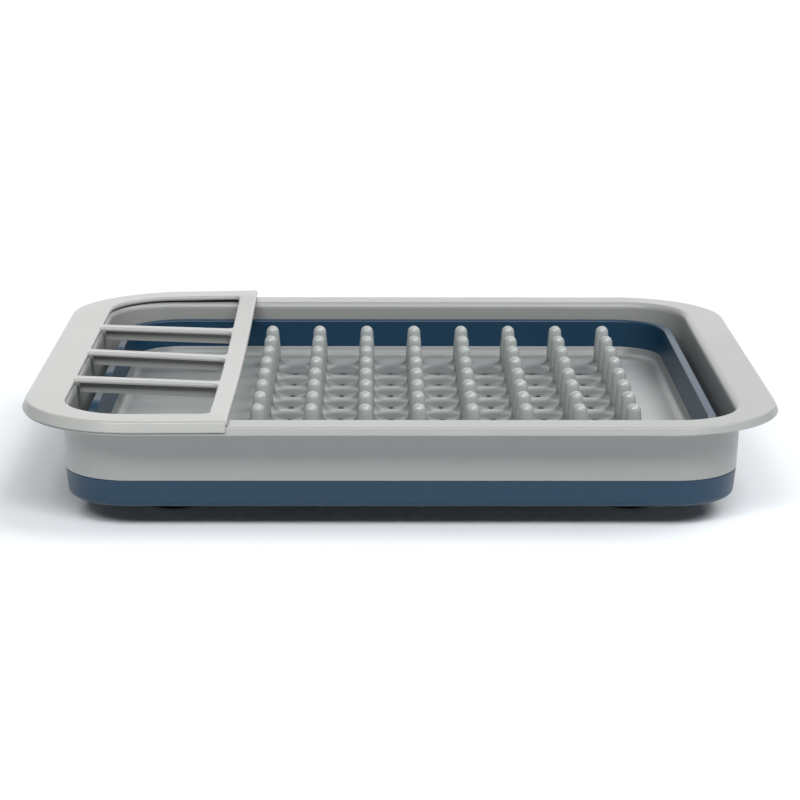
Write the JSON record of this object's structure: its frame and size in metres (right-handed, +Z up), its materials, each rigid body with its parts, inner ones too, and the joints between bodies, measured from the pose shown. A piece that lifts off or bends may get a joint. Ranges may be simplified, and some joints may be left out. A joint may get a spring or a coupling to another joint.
{
  "type": "bottle drying rack",
  "caption": "Collapsible drying rack for baby bottles: rigid rim, folding rubber wall, peg tray on rubber feet and a lift-off slotted cutlery holder.",
  "frame": {"origin": "bottom centre of the whole rack's box, on the surface that it stands on", "axes": "+Z up, +X along the rack's length away from the cutlery holder, +Y along its depth towards the back"},
  "size_m": [0.3746, 0.3158, 0.0591],
  "materials": {
    "rim_plastic": "satin moulded polypropylene, light warm grey",
    "tray_plastic": "semi-gloss moulded polypropylene, mid grey with a cool cast",
    "wall_rubber": "satin thermoplastic rubber, navy blue",
    "foot_rubber": "matt non-slip rubber, black"
  },
  "bodies": {
    "base": {"base_tray": "tray_plastic", "wall_inner": "wall_rubber", "peg_row_1": "tray_plastic", "peg_row_2": "tray_plastic", "peg_row_3": "tray_plastic", "peg_row_4": "tray_plastic", "peg_row_5": "tray_plastic", "peg_row_6": "tray_plastic", "peg_row_7": "tray_plastic", "peg_row_8": "tray_plastic", "foot_front_left": "foot_rubber", "foot_back_left": "foot_rubber", "foot_front_right": "foot_rubber", "foot_back_right": "foot_rubber"},
    "fold": {"wall_fold": "wall_rubber"},
    "rim": {"rim_frame": "rim_plastic", "wall_outer": "wall_rubber"},
    "holder": {"cutlery_holder": "rim_plastic"}
  },
  "joints": [
    {"name": "rim_slide", "type": "slide", "parent": "base", "child": "rim", "axis": [0, 0, 1], "range_m": [0, 0.07]},
    {"name": "fold_slide", "type": "slide", "parent": "base", "child": "fold", "axis": [0, 0, 1], "range_m": [0, 0.035]},
    {"name": "holder_lift", "type": "slide", "parent": "rim", "child": "holder", "axis": [0, 0, 1], "range_m": [0, 0.06]}
  ],
  "couplings": [
    {"joint": "fold_slide", "follows": "rim_slide", "ratio": 0.5}
  ]
}
